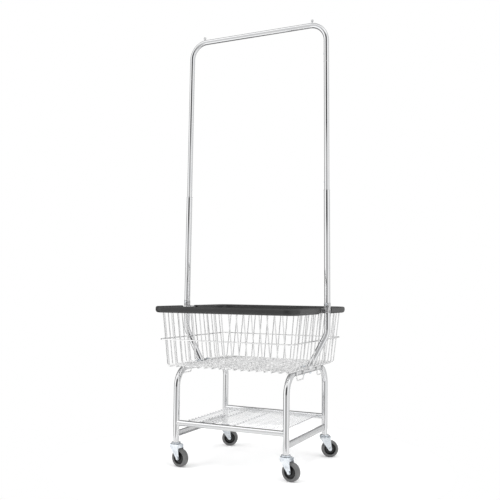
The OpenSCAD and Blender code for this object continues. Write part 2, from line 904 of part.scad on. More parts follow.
// caster pieces, drawn with the swivel axis on Z and the wheel towards +X
module caster_stem() {
    color(zinc) {
        translate([0, 0, leg_foot_z])
            cylinder(d = plug_d, h = plug_len, $fn = 48);
        translate([0, 0, flange_low + flange_bevel])
            cylinder(d = flange_d, h = leg_foot_z - flange_low - flange_bevel, $fn = 48);
        translate([0, 0, flange_low])
            cylinder(d1 = flange_foot_d, d2 = flange_d, h = flange_bevel, $fn = 48);
        translate([0, 0, crown_low - rivet_h])
            cylinder(d = kingpin_d, h = flange_low - crown_low + rivet_h + shank_lap, $fn = 48);
        translate([0, 0, crown_low - rivet_h - rivet_drop])
            cylinder(d = rivet_d, h = rivet_h, $fn = 48);
    }
}

module fork_leg() {
    translate([0, fork_inner + fork_t, 0])
        rotate([90, 0, 0])
            linear_extrude(height = fork_t)
                hull() {
                    translate([trail, axle_z]) circle(r = fork_foot_r, $fn = 32);
                    translate([-fork_back, crown_high - fork_side_h])
                        square([fork_back + fork_front, fork_side_h]);
                }
}

module caster_fork() {
    color(zinc) difference() {
        union() {
            translate([0, 0, crown_low])
                cylinder(d = crown_d, h = crown_high - crown_low, $fn = 48);
            translate([-fork_back, -fork_inner - fork_t, crown_low])
                cube([fork_back + fork_front, 2 * (fork_inner + fork_t), crown_high - crown_low]);
            fork_leg();
            mirror([0, 1, 0]) fork_leg();
        }
        translate([0, 0, crown_low - cut_extra])
            cylinder(d = kingpin_d + 2 * kingpin_fit, h = crown_high - crown_low + 2 * cut_extra,
                $fn = 48);
        translate([trail, crown_d, axle_z])
            rotate([90, 0, 0])
                cylinder(d = axle_d + 2 * touch_gap, h = 2 * crown_d, $fn = 48);
    }
}

module caster_axle() {
    face = fork_inner + fork_t + touch_gap;
    behind = axle_nut_h + axle_over;
    color(zinc)
    translate([trail, 0, axle_z]) rotate([90, 0, 0]) {
        translate([0, 0, -face - behind])
            cylinder(d = axle_d, h = 2 * face + behind, $fn = 48);
        translate([0, 0, face])
            cylinder(d = axle_hex_d, h = axle_head_h, $fn = 6);
        translate([0, 0, -face - axle_nut_h])
            cylinder(d = axle_hex_d, h = axle_nut_h, $fn = 6);
    }
}

module caster_hub() {
    bore_r = axle_d / 2 + axle_fit;
    color(charcoal)
    translate([trail, 0, axle_z]) rotate([90, 0, 0])
        rotate_extrude($fn = 64)
            polygon([
                [bore_r, -boss_half_w],
                [boss_r, -boss_half_w],
                [boss_r + boss_slope, -dish_at_boss],
                [hub_r - rim_foot, -dish_at_rim],
                [hub_r - rim_top, -hub_half_w],
                [hub_r, -hub_half_w],
                [hub_r, hub_half_w],
                [hub_r - rim_top, hub_half_w],
                [hub_r - rim_foot, dish_at_rim],
                [boss_r + boss_slope, dish_at_boss],
                [boss_r, boss_half_w],
                [bore_r, boss_half_w]
            ]);
}

module caster_tyre() {
    inner = hub_r + tyre_fit;
    outer = wheel_d / 2;
    half_w = wheel_w / 2;
    color(grey_rubber)
    translate([trail, 0, axle_z]) rotate([90, 0, 0])
        rotate_extrude($fn = 64)
            polygon(concat(
                [[inner, -half_w + tyre_bevel], [inner + tyre_bevel, -half_w]],
                arc_points(outer - tyre_shoulder, -half_w + tyre_shoulder, tyre_shoulder,
                    -90, 0, shoulder_steps),
                arc_points(outer - tyre_shoulder, half_w - tyre_shoulder, tyre_shoulder,
                    0, 90, shoulder_steps),
                [[inner + tyre_bevel, half_w], [inner, half_w - tyre_bevel]]
            ));
}

module at_front_left() {
    translate([-leg_half_x, -leg_half_y, 0]) rotate([0, 0, heading_front_left]) children();
}

module at_front_right() {
    translate([leg_half_x, -leg_half_y, 0]) rotate([0, 0, heading_front_right]) children();
}

module at_rear_left() {
    translate([-leg_half_x, leg_half_y, 0]) rotate([0, 0, heading_rear_left]) children();
}

module at_rear_right() {
    translate([leg_half_x, leg_half_y, 0]) rotate([0, 0, heading_rear_right]) children();
}

leg_frame_left();
leg_frame_right();
shelf_rail_front();
shelf_rail_rear();
side_brace_left();
side_brace_right();
shelf_wires();
rail_screws();
basket_cross_wires();
basket_long_wires();
basket_ring();
basket_top_frame();
basket_loops();
basket_clips();
basket_bolts();
bumper_front();
bumper_rear();
rack_bracket_left();
rack_bracket_right();
bracket_bolts();
lower_pole_left();
lower_pole_right();
mid_pole_left();
mid_pole_right();
upper_pole_left();
upper_pole_right();
hanger_arch();
stop_pins();
snap_button_mid_left();
snap_button_mid_right();
snap_button_top_left();
snap_button_top_right();
at_front_left() caster_stem();  // stem_front_left
at_front_right() caster_stem();  // stem_front_right
at_rear_left() caster_stem();  // stem_rear_left
at_rear_right() caster_stem();  // stem_rear_right
at_front_left() caster_fork();  // fork_front_left
at_front_right() caster_fork();  // fork_front_right
at_rear_left() caster_fork();  // fork_rear_left
at_rear_right() caster_fork();  // fork_rear_right
at_front_left() caster_axle();  // axle_front_left
at_front_right() caster_axle();  // axle_front_right
at_rear_left() caster_axle();  // axle_rear_left
at_rear_right() caster_axle();  // axle_rear_right
at_front_left() caster_hub();  // hub_front_left
at_front_right() caster_hub();  // hub_front_right
at_rear_left() caster_hub();  // hub_rear_left
at_rear_right() caster_hub();  // hub_rear_right
at_front_left() caster_tyre();  // tyre_front_left
at_front_right() caster_tyre();  // tyre_front_right
at_rear_left() caster_tyre();  // tyre_rear_left
at_rear_right() caster_tyre();  // tyre_rear_right
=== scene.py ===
import bpy
import bmesh
import json
import math
from mathutils import Matrix, Vector


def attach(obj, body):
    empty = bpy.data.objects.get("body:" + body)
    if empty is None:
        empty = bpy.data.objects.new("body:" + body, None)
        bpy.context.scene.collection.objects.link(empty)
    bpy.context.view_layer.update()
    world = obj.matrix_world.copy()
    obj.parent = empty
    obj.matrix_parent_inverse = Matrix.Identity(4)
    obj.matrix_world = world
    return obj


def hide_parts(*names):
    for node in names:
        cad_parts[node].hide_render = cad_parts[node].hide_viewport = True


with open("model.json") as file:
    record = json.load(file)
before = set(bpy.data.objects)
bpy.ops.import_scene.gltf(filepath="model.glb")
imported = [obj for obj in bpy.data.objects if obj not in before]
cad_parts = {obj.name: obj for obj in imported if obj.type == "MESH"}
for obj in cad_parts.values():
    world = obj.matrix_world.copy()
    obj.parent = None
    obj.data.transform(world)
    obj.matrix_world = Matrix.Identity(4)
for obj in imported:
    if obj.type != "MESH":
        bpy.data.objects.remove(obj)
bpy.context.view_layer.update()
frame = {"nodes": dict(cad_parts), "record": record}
NODES = frame["nodes"]
MM = 0.001

# sizes shared with the CAD source, in millimetres
LEG_X = 253.0
LEG_Y = 226.0
LEG_TOP = 411.0
LEG_BEND = 80.0
TUBE_R = 12.7
SLIM_R = 11.1
WIRE_R = 2.4
TOUCH = 0.1
FLOOR_REF = LEG_TOP + 15.0
RIM_Z = 650.0
BASE_Y, RIM_Y = 265.0, 309.0
BASE_X, RIM_X = 284.5, 312.0
SLOPE_Y = (RIM_Y - BASE_Y) / (RIM_Z - FLOOR_REF)
SLOPE_X = (RIM_X - BASE_X) / (RIM_Z - FLOOR_REF)
LONG_Z = LEG_TOP + TUBE_R + WIRE_R + TOUCH
CROSS_Z = LONG_Z - 2 * WIRE_R - TOUCH
WALL_TOP = 664.0
FLOOR_BEND = 8.0
CROSS_HALF = 268.8
LONG_HALF = 251.5
RING_Z = 536.7
FRAME_Z = 665.0
FRAME_R = 3.2
RACK_X = 342.6
DATUM = 700.0
LEAN = math.radians(0.47)
SLOPE = math.radians(28.5)
FOOT_X, FOOT_Z = 265.0, 425.0
RACK_BEND = 75.0
SEAM_LOW, SEAM_MID, SEAM_TOP = 698.0, 1179.0, 1738.0
BAR_Z = 1905.0
PIN_X = 268.0
SHELF_Z = 183.0


# ---------------------------------------------------------------- materials

def new_material(name):
    mat = bpy.data.materials.new(name)
    mat.use_nodes = True
    tree = mat.node_tree
    tree.nodes.clear()
    out = tree.nodes.new("ShaderNodeOutputMaterial")
    shader = tree.nodes.new("ShaderNodeBsdfPrincipled")
    tree.links.new(shader.outputs[0], out.inputs[0])
    return mat, tree, shader


def noise(tree, scale, detail=3.0, rough=0.55, stretch=None):
    coord = tree.nodes.new("ShaderNodeTexCoord")
    tex = tree.nodes.new("ShaderNodeTexNoise")
    tex.inputs["Scale"].default_value = scale
    tex.inputs["Detail"].default_value = detail
    tex.inputs["Roughness"].default_value = rough
    if stretch:
        mapping = tree.nodes.new("ShaderNodeMapping")
        mapping.inputs["Scale"].default_value = stretch
        tree.links.new(coord.outputs["Object"], mapping.inputs["Vector"])
        tree.links.new(mapping.outputs[0], tex.inputs["Vector"])
    else:
        tree.links.new(coord.outputs["Object"], tex.inputs["Vector"])
    return tex.outputs["Fac"]


def ramp(tree, source, stops):
    node = tree.nodes.new("ShaderNodeValToRGB")
    node.color_ramp.elements[0].position = stops[0][0]
    node.color_ramp.elements[0].color = stops[0][1]
    node.color_ramp.elements[1].position = stops[-1][0]
    node.color_ramp.elements[1].color = stops[-1][1]
    for place, colour in stops[1:-1]:
        node.color_ramp.elements.new(place).color = colour
    tree.links.new(source, node.inputs[0])
    return node.outputs[0]


def spread(tree, source, low, high, from_low=0.0, from_high=1.0):
    node = tree.nodes.new("ShaderNodeMapRange")
    node.inputs["From Min"].default_value = from_low
    node.inputs["From Max"].default_value = from_high
    node.inputs["To Min"].default_value = low
    node.inputs["To Max"].default_value = high
    tree.links.new(source, node.inputs["Value"])
    return node.outputs[0]


def add_bump(tree, shader, sources, distance):
    total = None
    for source, weight in sources:
        scaled = tree.nodes.new("ShaderNodeMath")
        scaled.operation = "MULTIPLY"
        scaled.inputs[1].default_value = weight
        tree.links.new(source, scaled.inputs[0])
        if total is None:
            total = scaled.outputs[0]
        else:
            both = tree.nodes.new("ShaderNodeMath")
            both.operation = "ADD"
            tree.links.new(total, both.inputs[0])
            tree.links.new(scaled.outputs[0], both.inputs[1])
            total = both.outputs[0]
    bump = tree.nodes.new("ShaderNodeBump")
    bump.inputs["Strength"].default_value = 1.0
    bump.inputs["Distance"].default_value = distance
    tree.links.new(total, bump.inputs["Height"])
    tree.links.new(bump.outputs[0], shader.inputs["Normal"])


def grey(v, tint=(1.0, 1.0, 1.0)):
    return (v * tint[0], v * tint[1], v * tint[2], 1.0)


def maths(tree, operation, a, b=None):
    node = tree.nodes.new("ShaderNodeMath")
    node.operation = operation
    for slot_index, value in enumerate((a, b)):
        if isinstance(value, (int, float)):
            node.inputs[slot_index].default_value = value
        elif value is not None:
            tree.links.new(value, node.inputs[slot_index])
    return node.outputs[0]


def chrome_material(name, value, rough_low, rough_high, stretch, bump, painted_dash_scale=None):
    mat, tree, shader = new_material(name)
    shader.inputs["Metallic"].default_value = 1.0
    cloud = noise(tree, 9.0, 4.0)
    tone = ramp(tree, cloud, [(0.30, grey(value * 0.93, (0.99, 1.0, 1.02))), (0.72, grey(value))])
    if painted_dash_scale:
        # painted reflection: on the basket floor wires the base colour is broken into light and dark dashes and
        # lifted a little, standing in for the shine the crossed wires mirror from each other; a fine random
        # speckle of tone runs over every wire of this material
        grain = noise(tree, painted_dash_scale, 2.0, 0.5)
        coord = tree.nodes.new("ShaderNodeTexCoord")
        split = tree.nodes.new("ShaderNodeSeparateXYZ")
        tree.links.new(coord.outputs["Object"], split.inputs[0])
        shine_wave = maths(tree, "SUBTRACT", noise(tree, 95.0, 1.0, 0.4), 0.5)
        # mask of the wires at basket floor height, which get the painted shine dashes and a painted lift in
        # brightness
        low = maths(tree, "LESS_THAN", split.outputs[2], (LONG_Z + 4.0) * MM)
        painted_shine_dash = maths(tree, "ADD", maths(tree, "MULTIPLY", maths(tree, "MULTIPLY", shine_wave, low), 0.9),
                    maths(tree, "MULTIPLY", grain, 0.55))
        # the painted shine goes into the base colour, up to about a third brighter than the plain wire
        tone = ramp(tree, maths(tree, "ADD", maths(tree, "ADD", painted_shine_dash, 0.22), maths(tree, "MULTIPLY", low, 0.07)),
                    [(0.12, grey(value * 0.72, (0.99, 1.0, 1.02))), (0.50, grey(value)),
                     (0.86, grey(min(0.97, value * 1.34)))])
    tree.links.new(tone, shader.inputs["Base Color"])
    streak = noise(tree, 60.0, 5.0, 0.6, stretch)
    smear = noise(tree, 26.0, 3.0, 0.5)
    mixed = tree.nodes.new("ShaderNodeMath")
    mixed.operation = "MULTIPLY"
    tree.links.new(streak, mixed.inputs[0])
    tree.links.new(smear, mixed.inputs[1])
    tree.links.new(spread(tree, mixed.outputs[0], rough_low, rough_high, 0.12, 0.42),
                   shader.inputs["Roughness"])
    add_bump(tree, shader, [(streak, 0.4), (smear, 1.0)], bump)
    return mat


def zinc_material():
    mat, tree, shader = new_material("zinc_plate")
    shader.inputs["Metallic"].default_value = 1.0
    cloud = noise(tree, 60.0, 4.0)
    tone = ramp(tree, cloud, [(0.30, grey(0.56, (0.95, 1.0, 1.06))), (0.52, grey(0.70, (0.95, 1.0, 1.05))),
                              (0.75, grey(0.80, (0.98, 1.0, 1.02)))])
    tree.links.new(tone, shader.inputs["Base Color"])
    grain = noise(tree, 420.0, 4.0, 0.6)
    tree.links.new(spread(tree, cloud, 0.18, 0.34, 0.3, 0.7), shader.inputs["Roughness"])
    add_bump(tree, shader, [(grain, 0.6), (cloud, 1.0)], 0.0002)
    return mat


def cast_material():
    # the clamps: dull cast metal, pitted and a little stained
    mat, tree, shader = new_material("cast_clamp")
    shader.inputs["Metallic"].default_value = 0.9
    cloud = noise(tree, 110.0, 5.0, 0.65)
    pits = noise(tree, 380.0, 4.0, 0.6)
    tone = ramp(tree, cloud, [(0.36, grey(0.14)), (0.50, grey(0.42, (1.0, 1.0, 1.02))), (0.66, grey(0.66))])
    tree.links.new(tone, shader.inputs["Base Color"])
    tree.links.new(spread(tree, cloud, 0.30, 0.55, 0.35, 0.65), shader.inputs["Roughness"])
    add_bump(tree, shader, [(pits, 0.5), (cloud, 1.0)], 0.0005)
    return mat


def bumper_material():
    mat, tree, shader = new_material("bumper_vinyl")
    cloud = noise(tree, 7.0, 5.0)
    scuff = noise(tree, 55.0, 6.0, 0.65, (1.0, 1.0, 5.0))
    tone = ramp(tree, cloud, [(0.30, grey(0.011)), (0.70, grey(0.019, (1.0, 1.0, 1.02)))])
    wear = ramp(tree, scuff, [(0.56, grey(0.0)), (0.74, grey(0.014))])
    add = tree.nodes.new("ShaderNodeMix")
    add.data_type = "RGBA"
    add.blend_type = "ADD"
    add.inputs["Factor"].default_value = 1.0
    tree.links.new(tone, add.inputs[6])
    tree.links.new(wear, add.inputs[7])
    tree.links.new(add.outputs[2], shader.inputs["Base Color"])
    tree.links.new(spread(tree, scuff, 0.34, 0.52, 0.3, 0.75), shader.inputs["Roughness"])
    grain = noise(tree, 900.0, 3.0, 0.5)
    add_bump(tree, shader, [(grain, 0.5), (scuff, 0.7)], 0.00018)
    return mat


def tyre_material():
    mat, tree, shader = new_material("wheel_rubber_grey")
    cloud = noise(tree, 40.0, 5.0)
    scuff = noise(tree, 160.0, 5.0, 0.7)
    tone = ramp(tree, cloud, [(0.30, grey(0.105)), (0.68, grey(0.15))])
    dust = ramp(tree, scuff, [(0.52, grey(0.0)), (0.78, grey(0.04, (1.0, 0.98, 0.95)))])
    add = tree.nodes.new("ShaderNodeMix")
    add.data_type = "RGBA"
    add.blend_type = "ADD"
    add.inputs["Factor"].default_value = 1.0
    tree.links.new(tone, add.inputs[6])
    tree.links.new(dust, add.inputs[7])
    tree.links.new(add.outputs[2], shader.inputs["Base Color"])
    tree.links.new(spread(tree, scuff, 0.48, 0.72, 0.3, 0.7), shader.inputs["Roughness"])
    add_bump(tree, shader, [(scuff, 1.0)], 0.0003)
    return mat


def hub_material():
    mat, tree, shader = new_material("hub_gloss_black")
    cloud = noise(tree, 90.0, 4.0)
    tone = ramp(tree, cloud, [(0.30, grey(0.005)), (0.75, grey(0.012, (0.97, 1.0, 1.04)))])
    tree.links.new(tone, shader.inputs["Base Color"])
    tree.links.new(spread(tree, cloud, 0.12, 0.26, 0.3, 0.7), shader.inputs["Roughness"])
    shader.inputs["Specular IOR Level"].default_value = 0.35
    add_bump(tree, shader, [(cloud, 1.0)], 0.0001)
    return mat


def floor_material():
    mat, tree, shader = new_material("studio_floor")
    cloud = noise(tree, 1.5, 3.0)
    tree.links.new(ramp(tree, cloud, [(0.2, grey(0.93)), (0.8, grey(0.95))]),
                   shader.inputs["Base Color"])
    shader.inputs["Roughness"].default_value = 0.9
    shader.inputs["Specular IOR Level"].default_value = 0.1
    shader.inputs["Emission Color"].default_value = (1.0, 1.0, 1.0, 1.0)
    shader.inputs["Emission Strength"].default_value = 0.12
    return mat


CHROME = chrome_material("chrome_tube", 0.63, 0.05, 0.14, (1.0, 1.0, 0.12), 0.00001)
# the last argument turns on the painted shine dashes and painted brightening of the basket floor wires
CHROME_WIRE = chrome_material("chrome_wire", 0.71, 0.08, 0.20, (1.0, 1.0, 1.0), 0.00002, 40.0)
SHEET = chrome_material("plated_sheet", 0.52, 0.16, 0.30, (1.0, 0.15, 1.0), 0.00004)
SHELF_WIRE = chrome_material("shelf_wire", 0.84, 0.10, 0.24, (1.0, 1.0, 1.0), 0.00002)
ZINC = zinc_material()
CAST = cast_material()
BUMPER = bumper_material()
TYRE = tyre_material()
HUB = hub_material()
SLOT_MATERIAL = {
    "chrome_tube": CHROME, "chrome_wire": CHROME_WIRE, "zinc_steel": ZINC,
    "bumper_plastic": BUMPER, "hub_plastic": HUB, "wheel_rubber": TYRE,
}
NODE_SLOT = {s["node"]: s["material_slot"] for s in frame["record"]["subparts"]}
NODE_BODY = {}
for body_name, members in frame["record"]["behaviour"]["bodies"].items():
    for member in members:
        NODE_BODY[member] = body_name

for node_name, node_object in NODES.items():
    node_object.data.materials.clear()
    node_object.data.materials.append(SLOT_MATERIAL[NODE_SLOT[node_name]])


# ---------------------------------------------------------------- mesh tools

class Builder:
    """Collects the solids of one piece, in millimetres."""

    def __init__(self):
        self.verts = []
        self.faces = []

    def add(self, verts, faces, matrix=None):
        start = len(self.verts)
        for v in verts:
            v = Vector(v)
            self.verts.append(matrix @ v if matrix else v)
        for f in faces:
            self.faces.append([start + i for i in f])

    def sweep(self, points, normal, profile, closed=False, matrix=None):
        """profile: (towards the side, towards the normal) pairs, counter-clockwise."""
        normal = Vector(normal).normalized()
        n = len(points)
        verts, faces = [], []
        m = len(profile)
        for i, p in enumerate(points):
            before = points[(i - 1) % n] if closed or i > 0 else p
            after = points[(i + 1) % n] if closed or i < n - 1 else p
            a = (p - before)
            b = (after - p)
            if a.length < 1e-9:
                a = b.copy()
            if b.length < 1e-9:
                b = a.copy()
            t = (a.normalized() + b.normalized()).normalized()
            side = t.cross(normal).normalized()
            stretch = 1.0 / max(0.5, t.dot(b.normalized()))
            for u, v in profile:
                verts.append(p + side * (u * stretch) + normal * v)
        count = n if closed else n - 1
        for i in range(count):
            j = (i + 1) % n
            for k in range(m):
                l = (k + 1) % m
                faces.append([i * m + k, j * m + k, j * m + l, i * m + l])
        if not closed:
            faces.append([k for k in range(m)])
            faces.append([(n - 1) * m + k for k in reversed(range(m))])
        self.add(verts, faces, matrix)

    def tube(self, points, normal, radius, sides=24, closed=False, matrix=None):
        self.sweep(points, normal, ring(radius, sides), closed, matrix)

    def lathe(self, profile, matrix=None, sides=48, closed=False):
        """profile: (radius, height) pairs turned round local Z."""
        verts, faces = [], []
        m = len(profile)
        for i in range(sides):
            a = 2 * math.pi * i / sides
            for r, h in profile:
                verts.append((r * math.cos(a), r * math.sin(a), h))
        for i in range(sides):
            j = (i + 1) % sides
            for k in range(m if closed else m - 1):
                l = (k + 1) % m
                faces.append([i * m + k, j * m + k, j * m + l, i * m + l])
        if not closed:
            if profile[0][0] > 1e-6:
                faces.append([i * m for i in reversed(range(sides))])
            if profile[-1][0] > 1e-6:
                faces.append([i * m + m - 1 for i in range(sides)])
        self.add(verts, faces, matrix)

    def prism(self, outline, depth, matrix=None, bevel=0.0):
        """outline in local XY, extruded to +depth along Z, with optional small edge bevels."""
        rings = []
        if bevel > 0:
            inner = inset(outline, bevel)
            rings = [(inner, 0.0), (outline, bevel), (outline, depth - bevel), (inner, depth)]
        else:
            rings = [(outline, 0.0), (outline, depth)]
        m = len(outline)
        verts = [(p[0], p[1], z) for pts, z in rings for p in pts]
        faces = []
        for i in range(len(rings) - 1):
            for k in range(m):
                l = (k + 1) % m
                faces.append([i * m + k, i * m + l, (i + 1) * m + l, (i + 1) * m + k])
        faces.append([k for k in reversed(range(m))])
        faces.append([(len(rings) - 1) * m + k for k in range(m)])
        self.add(verts, faces, matrix)

    def piece(self, name, *nodes, slot=None, sharp=38.0, material=None):
        mesh = bpy.data.meshes.new(name)
        mesh.from_pydata([v * MM for v in self.verts], [], self.faces)
        mesh.validate()
        bm = bmesh.new()
        bm.from_mesh(mesh)
        bmesh.ops.remove_doubles(bm, verts=bm.verts, dist=1e-7)
        bmesh.ops.recalc_face_normals(bm, faces=bm.faces)
        limit = math.radians(sharp)
        for f in bm.faces:
            f.smooth = True
        for e in bm.edges:
            if len(e.link_faces) == 2:
                e.smooth = e.calc_face_angle(0.0) < limit
        bm.to_mesh(mesh)
        bm.free()
        obj = bpy.data.objects.new(name, mesh)
        bpy.context.scene.collection.objects.link(obj)
        slot = slot or NODE_SLOT[nodes[0]]
        mesh.materials.append(material or SLOT_MATERIAL[slot])
        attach(obj, NODE_BODY[nodes[0]])
        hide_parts(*nodes)
        return obj


def ring(radius, sides):
    return [(radius * math.cos(2 * math.pi * k / sides), radius * math.sin(2 * math.pi * k / sides))
            for k in range(sides)]


def inset(outline, amount):
    """Moves each side of a convex outline inwards by amount."""
    n = len(outline)
    area = sum(outline[i][0] * outline[(i + 1) % n][1] - outline[(i + 1) % n][0] * outline[i][1]
               for i in range(n))
    sign = 1.0 if area > 0 else -1.0
    result = []
    for i in range(n):
        p = Vector(outline[i][:2])
        a = (p - Vector(outline[i - 1][:2])).normalized()
        b = (Vector(outline[(i + 1) % n][:2]) - p).normalized()
        na = Vector((-a.y, a.x)) * sign
        nb = Vector((-b.y, b.x)) * sign
        mid = (na + nb).normalized()
        result.append(tuple(p + mid * (amount / max(0.35, mid.dot(na)))))
    return result


def route(corners, radii, closed=False, step=7.5):
    """Polyline through 3-D corners with an arc of the given radius at each inner corner."""
    corners = [Vector(c) for c in corners]
    n = len(corners)
    points = []
    for i, p in enumerate(corners):
        if not closed and i in (0, n - 1):
            points.append(p)
            continue
        r = radii[i] if isinstance(radii, (list, tuple)) else radii
        u = (corners[(i - 1) % n] - p).normalized()
        v = (corners[(i + 1) % n] - p).normalized()
        half = u.angle(v) / 2
        t = r / math.tan(half)
        centre = p + (u + v).normalized() * (r / math.sin(half))
        a = p + u * t - centre
        b = p + v * t - centre
        turn = a.angle(b)
        count = max(3, int(math.ceil(math.degrees(turn) / step)))
        for k in range(count + 1):
            w = k / count
            points.append(centre + (a * math.sin((1 - w) * turn) + b * math.sin(w * turn)) / math.sin(turn))
    return points


def mirrored_x():
    return Matrix.Scale(-1, 4, (1, 0, 0))


def wall_y(z):
    return BASE_Y + (z - FLOOR_REF) * SLOPE_Y


def wall_x(z):
    return BASE_X + (z - FLOOR_REF) * SLOPE_X


def upright_x(z):
    return RACK_X - (z - DATUM) * math.tan(LEAN)


# right upright's own frame, Z along the tube, origin at the datum
UPRIGHT = Matrix.Translation((RACK_X, 0, DATUM)) @ Matrix.Rotation(-LEAN, 4, "Y")


# ---------------------------------------------------------------- tubes of the base

for side, label in ((-1, "left"), (1, "right")):
    b = Builder()
    foot = 100.1
    path = route([(side * LEG_X, -LEG_Y, foot), (side * LEG_X, -LEG_Y, LEG_TOP),
                  (side * LEG_X, LEG_Y, LEG_TOP), (side * LEG_X, LEG_Y, foot)], LEG_BEND, step=5)
    b.tube(path, (1, 0, 0), TUBE_R, 40)
    b.piece("leg_tube_" + label, "leg_frame_" + label)


# ---------------------------------------------------------------- basket wires

def u_route(half_floor_ref, slope, floor_z):
    # corner where the leaning wall line meets the floor line
    corner = half_floor_ref + (floor_z - FLOOR_REF) * slope
    top = half_floor_ref + (WALL_TOP - FLOOR_REF) * slope
    return corner, top


b = Builder()
corner, top = u_route(BASE_Y, SLOPE_Y, CROSS_Z)
for i in range(17):
    x = -CROSS_HALF + i * (2 * CROSS_HALF / 16)
    if i in (0, 16):
        for s in (-1, 1):
            pts = route([(x, s * top, WALL_TOP), (x, s * corner, CROSS_Z), (x, s * (TUBE_R + 2), CROSS_Z)],
                        FLOOR_BEND, step=12)
            b.tube(pts, (1, 0, 0), WIRE_R, 14)
    else:
        pts = route([(x, -top, WALL_TOP), (x, -corner, CROSS_Z), (x, corner, CROSS_Z), (x, top, WALL_TOP)],
                    FLOOR_BEND, step=12)
        b.tube(pts, (1, 0, 0), WIRE_R, 14)
b.piece("wires_front_to_back", "basket_cross_wires")

b = Builder()
corner, top = u_route(BASE_X, SLOPE_X, LONG_Z)
for i in range(14):
    y = -LONG_HALF + i * (2 * LONG_HALF / 13)
    pts = route([(-top, y, WALL_TOP), (-corner, y, LONG_Z), (corner, y, LONG_Z), (top, y, WALL_TOP)],
                FLOOR_BEND, step=12)
    b.tube(pts, (0, 1, 0), WIRE_R, 14)
b.piece("wires_side_to_side", "basket_long_wires")


def rectangle(half_x, half_y, z, r):
    return route([(half_x, half_y, z), (-half_x, half_y, z), (-half_x, -half_y, z), (half_x, -half_y, z)],
                 r, closed=True, step=6)


lean_y = math.atan(SLOPE_Y)
lean_x = math.atan(SLOPE_X)
ring_x = wall_x(RING_Z) + WIRE_R / math.cos(lean_x) + WIRE_R + TOUCH
ring_y = wall_y(RING_Z) + WIRE_R / math.cos(lean_y) + WIRE_R + TOUCH
b = Builder()
b.tube(rectangle(ring_x, ring_y, RING_Z, 18.0), (0, 0, 1), WIRE_R, 14, closed=True)
b.piece("wire_ring", "basket_ring")

frame_x = wall_x(WALL_TOP) + WIRE_R / math.cos(lean_x) + FRAME_R + TOUCH
frame_y = wall_y(WALL_TOP) + WIRE_R / math.cos(lean_y) + FRAME_R + TOUCH
b = Builder()
b.tube(rectangle(frame_x, frame_y, FRAME_Z, 47.0), (0, 0, 1), FRAME_R, 16, closed=True)
b.piece("wire_top_frame", "basket_top_frame")

b = Builder()
for sx in (-1, 1):
    for sy in (-1, 1):
        x = sx * CROSS_HALF
        y0, y1 = sy * 118 - 37, sy * 118 + 37
        top_z = CROSS_Z - WIRE_R - TOUCH
        pts = route([(x, y0, top_z), (x, y0, 383), (x, y1, 383), (x, y1, top_z)], 8.0, step=10)
        b.tube(pts, (1, 0, 0), WIRE_R, 14)
b.piece("wire_hook_loops", "basket_loops")

# ---------------------------------------------------------------- shelf wires

b = Builder()
half = LEG_Y - 12 - TOUCH
for x in (-218, -165, -115, 0, 218):
    b.tube([Vector((x, -half, SHELF_Z)), Vector((x, half, SHELF_Z))], (1, 0, 0), 2.2, 14)
z = SHELF_Z + 3.7 + TOUCH
for i in range(16):
    y = -202 + i * (404 / 15)
    b.tube([Vector((-223, y, z)), Vector((223, y, z))], (0, 1, 0), 1.5, 12)
b.piece("shelf_mat", "shelf_wires", material=SHELF_WIRE)

# ---------------------------------------------------------------- rack

meet_z = ((RACK_X + DATUM * math.tan(LEAN) - FOOT_X + FOOT_Z * math.tan(SLOPE))
          / (math.tan(SLOPE) + math.tan(LEAN)))
meet_x = FOOT_X + (meet_z - FOOT_Z) * math.tan(SLOPE)


for side, label in ((-1, "left"), (1, "right")):
    flip = mirrored_x() if side < 0 else Matrix.Identity(4)
    up = flip @ UPRIGHT
    # the slanted foot starts on the upper face of the leg frame's top run
    start_z = LEG_TOP + 9.0
    start = (FOOT_X + (start_z - FOOT_Z) * math.tan(SLOPE), 0, start_z)
    b = Builder()
    pts = route([start, (meet_x, 0, meet_z), (upright_x(SEAM_LOW - 1.0), 0, SEAM_LOW - 1.0)], RACK_BEND, step=3)
    b.tube(pts, (0, 1, 0), TUBE_R, 40, matrix=flip)
    low = SEAM_LOW - DATUM
    b.lathe([(TUBE_R - 0.5, low - 2.2), (TUBE_R + 0.5, low - 1.9), (TUBE_R + 0.8, low - 1.3),
             (TUBE_R + 0.8, low - 0.5), (TUBE_R + 0.5, low - 0.1), (TUBE_R - 1.4, low)], up, 40)
    b.piece("rack_foot_" + label, "lower_pole_" + label)

    mid = SEAM_MID - DATUM
    b = Builder()
    b.lathe([(TUBE_R - 0.9, low + 0.1), (TUBE_R - 0.25, low + 0.15), (TUBE_R, low + 0.6), (TUBE_R, mid - 2.6),
             (TUBE_R + 0.5, mid - 2.0), (TUBE_R + 0.8, mid - 1.3), (TUBE_R + 0.8, mid - 0.5),
             (TUBE_R + 0.3, mid - 0.1), (SLIM_R - 1.2, mid)], up, 40)
    b.piece("rack_lower_tube_" + label, "mid_pole_" + label)

    top_seam = SEAM_TOP - DATUM
    b = Builder()
    b.lathe([(SLIM_R - 0.9, mid + 0.1), (SLIM_R - 0.25, mid + 0.15), (SLIM_R, mid + 0.6),
             (SLIM_R, top_seam - 2.6), (SLIM_R + 0.5, top_seam - 2.0), (SLIM_R + 0.8, top_seam - 1.3),
             (SLIM_R + 0.8, top_seam - 0.5), (SLIM_R + 0.3, top_seam - 0.1), (SLIM_R - 1.2, top_seam)], up, 40)
    b.piece("rack_upper_tube_" + label, "upper_pole_" + label)

b = Builder()
arch_z = SEAM_TOP + 0.1
corner_x = upright_x(BAR_Z)
pts = route([(upright_x(arch_z), 0, arch_z), (corner_x, 0, BAR_Z), (-corner_x, 0, BAR_Z),
             (-upright_x(arch_z), 0, arch_z)], RACK_BEND, step=3)
b.tube(pts, (0, 1, 0), SLIM_R, 40)
b.piece("hanging_bar", "hanger_arch")

# ---------------------------------------------------------------- bumper

